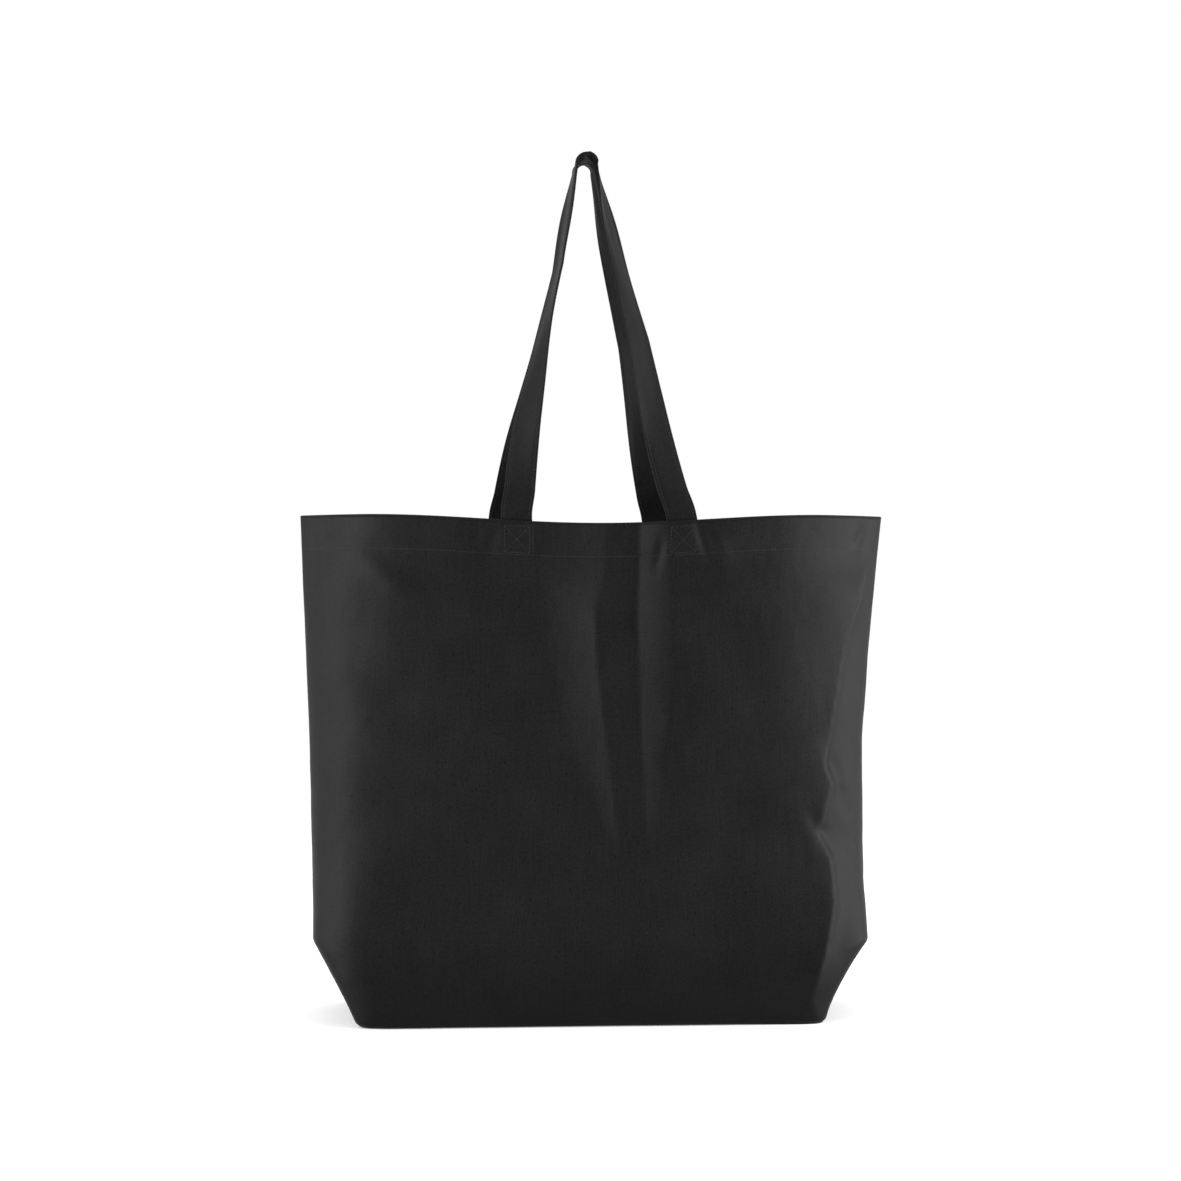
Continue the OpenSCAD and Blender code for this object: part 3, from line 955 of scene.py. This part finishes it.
class TOTE_OT_seams(bpy.types.Operator):
    """Adds the overlocked seam allowances inside the bag"""

    bl_idname = "tote.seams"
    bl_label = "Inside seams"

    def seam(self, sizes, canvas, thread, name, start_to_end, wide, out, length):
        """A two-layer strip with overlock loops over its raw edge."""
        half_w, half_t = SEAM_HALF_W, sizes.cloth

        def strip(i, j):
            angle = 2 * math.pi * i
            c, s = math.cos(angle), math.sin(angle)
            a = half_w * math.copysign(abs(c) ** 0.4, c)
            t = half_t * math.copysign(abs(s) ** 0.6, s)
            wave = 0.0004 * noise.noise(Vector((j * length * 40.0, a * 60.0, 2.0)))
            return start_to_end(j) + wide * a + out * (t + wave), (a + i * 0.02, j * length)

        around = 16
        maker = shaped_grid(around, max(8, round(length / 0.006)), strip)
        bmesh.ops.remove_doubles(maker, verts=maker.verts, dist=0.00002)
        bmesh.ops.holes_fill(maker, edges=maker.edges, sides=around + 2)
        bmesh.ops.recalc_face_normals(maker, faces=maker.faces)
        new_piece(f"{name}_allowance", maker, canvas, "seam", "bag", name)
        places = []
        for index in range(int(length / OVERLOCK_PITCH)):
            middle = start_to_end((index + 0.5) * OVERLOCK_PITCH / length)
            for face in (-1, 1):
                start = middle + out * (half_t * face)
                places.append(stitch_matrix(start, start + wide * half_w * 1.05, out * face,
                                            sizes.thread * 1.2))
            edge = middle + wide * half_w
            places.append(stitch_matrix(edge - out * half_t, edge + out * half_t, wide,
                                        sizes.thread * 1.4))
        new_piece(f"{name}_overlock", stitch_mesh(places), thread, "thread", "bag")

    def execute(self, context):
        sizes, colours = context.scene.tote_sizes, context.scene.tote_colours
        canvas = shared("hem_canvas", canvas_material, "hem_canvas", sizes, colours, 0.04)
        thread = shared("sewing_thread", thread_material, colours)
        up, right, back = Vector((0, 0, 1)), Vector((1, 0, 0)), Vector((0, 1, 0))
        foot, top = SEAM_FOOT_Z, HEM_Z - SEAM_TOP_GAP
        for hand, sign in (("left", -1), ("right", 1)):
            def beside_wall(share):
                z = mix(foot, top, share)
                x = smooth_wall(sign, z).x - sign * SEAM_FROM_WALL
                return Vector((x, 0.0, z))
            self.seam(sizes, canvas, thread, f"{hand}_side_seam", beside_wall, -sign * right,
                      back, top - foot)
            low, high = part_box(f"{hand}_gusset_seam")
            middle = (low + high) / 2

            def along_end(share):
                return Vector((middle.x, mix(low.y, high.y, share), middle.z + SEAM_LIFT))
            self.seam(sizes, canvas, thread, f"{hand}_gusset_seam", along_end, -sign * right,
                      up, high.y - low.y)
        low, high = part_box("bottom_seam")
        centre = (low + high) / 2

        def along_bottom(share):
            return Vector((mix(low.x, high.x, share), centre.y, centre.z + SEAM_LIFT))
        self.seam(sizes, canvas, thread, "bottom_seam", along_bottom, back, up, high.x - low.x)
        return {"FINISHED"}


class TOTE_OT_straps(bpy.types.Operator):
    """Makes each strap in one piece, sewn at both ends and baked in place"""

    bl_idname = "tote.straps"
    bl_label = "Straps"

    def execute(self, context):
        sizes, colours = context.scene.tote_sizes, context.scene.tote_colours
        canvas = shared("strap_canvas", canvas_material, "strap_canvas", sizes, colours, 0.08)
        thread = shared("sewing_thread", thread_material, colours)
        for name in ("front", "back"):
            strap = strap_mesh(sizes.strap_thickness)
            stitches = strap_edge_stitches(sizes)
            mirror = 1 if name == "back" else -1
            for maker in (strap, stitches):
                set_aside(maker, mirror)
                if name == "back":
                    flip_to_back(maker)
            body = f"{name}_handle"
            start = Vector((0, -mirror * SWING["pos_m"][1], STRAP_FOOT_Z - BLEND_DROP))
            piece = new_piece(f"{name}_strap", strap, canvas, "strap", None, body,
                              f"{name}_left_strap_end", f"{name}_right_strap_end")
            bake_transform(piece)
            piece = new_piece(f"{name}_strap_thread", stitches, thread, "thread", None,
                              f"{name}_handle_stitching")
            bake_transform(piece)
        return {"FINISHED"}


class TOTE_OT_stage(bpy.types.Operator):
    """Sets the floor, the soft lights and the camera"""

    bl_idname = "tote.stage"
    bl_label = "Stage"

    def light(self, name, place, target, width, height, power):
        data = bpy.data.lights.new(name, "AREA")
        data.shape = "RECTANGLE"
        data.size, data.size_y = width, height
        data.energy = power
        data.spread = LIGHT_SPREAD
        lamp = bpy.data.objects.new(name, data)
        lamp.location = place
        lamp.rotation_euler = (Vector(target) - Vector(place)).to_track_quat("-Z", "Y").to_euler()
        bpy.context.scene.collection.objects.link(lamp)

    def execute(self, context):
        scene, colours = context.scene, context.scene.tote_colours
        maker = bmesh.new()
        bmesh.ops.create_grid(maker, x_segments=8, y_segments=8, size=FLOOR_HALF_W)
        mesh = bpy.data.meshes.new("floor")
        maker.to_mesh(mesh)
        maker.free()
        mesh.materials.append(floor_material(colours))
        floor = bpy.data.objects.new("floor", mesh)
        scene.collection.objects.link(floor)
        for name, facts in LIGHTS.items():
            self.light(name, *facts)
        scene.world = studio_world()
        scene.view_settings.view_transform = "Standard"
        camera = bpy.data.cameras.new("camera")
        camera.sensor_width = CAMERA_SENSOR_W
        camera.lens = CAMERA_LENS
        eye = bpy.data.objects.new("camera", camera)
        eye.location = (math.sin(CAMERA_YAW) * CAMERA_DISTANCE + CAMERA_ASIDE,
                        -math.cos(CAMERA_YAW) * CAMERA_DISTANCE, CAMERA_Z)
        eye.rotation_euler = (math.pi / 2, 0.0, CAMERA_YAW)
        scene.collection.objects.link(eye)
        scene.camera = eye
        return {"FINISHED"}


class TOTE_PT_panel(bpy.types.Panel):
    """Lists the tote's sizes, colours and pieces"""

    bl_idname = "TOTE_PT_panel"
    bl_label = "Canvas tote bag"
    bl_space_type = "VIEW_3D"
    bl_region_type = "UI"
    bl_category = "Tote"

    def draw(self, context):
        layout = self.layout
        for group in (context.scene.tote_sizes, context.scene.tote_colours):
            for name in group.__annotations__:
                layout.prop(group, name)
        for operator in OPERATORS:
            layout.operator(operator.bl_idname)


OPERATORS = (TOTE_OT_stage, TOTE_OT_panels, TOTE_OT_hems, TOTE_OT_hem_stitching,
             TOTE_OT_box_stitching, TOTE_OT_seams, TOTE_OT_straps)
CLASSES = (ToteSizes, ToteColours, *OPERATORS, TOTE_PT_panel)


def register():
    for made in CLASSES:
        bpy.utils.register_class(made)
    bpy.types.Scene.tote_sizes = bpy.props.PointerProperty(type=ToteSizes)
    bpy.types.Scene.tote_colours = bpy.props.PointerProperty(type=ToteColours)


def unregister():
    del bpy.types.Scene.tote_sizes
    del bpy.types.Scene.tote_colours
    for made in reversed(CLASSES):
        bpy.utils.unregister_class(made)


def main():
    register()
    for operator in OPERATORS:
        group, name = operator.bl_idname.split(".")
        getattr(getattr(bpy.ops, group), name)()


if __name__ == "__main__":
    main()
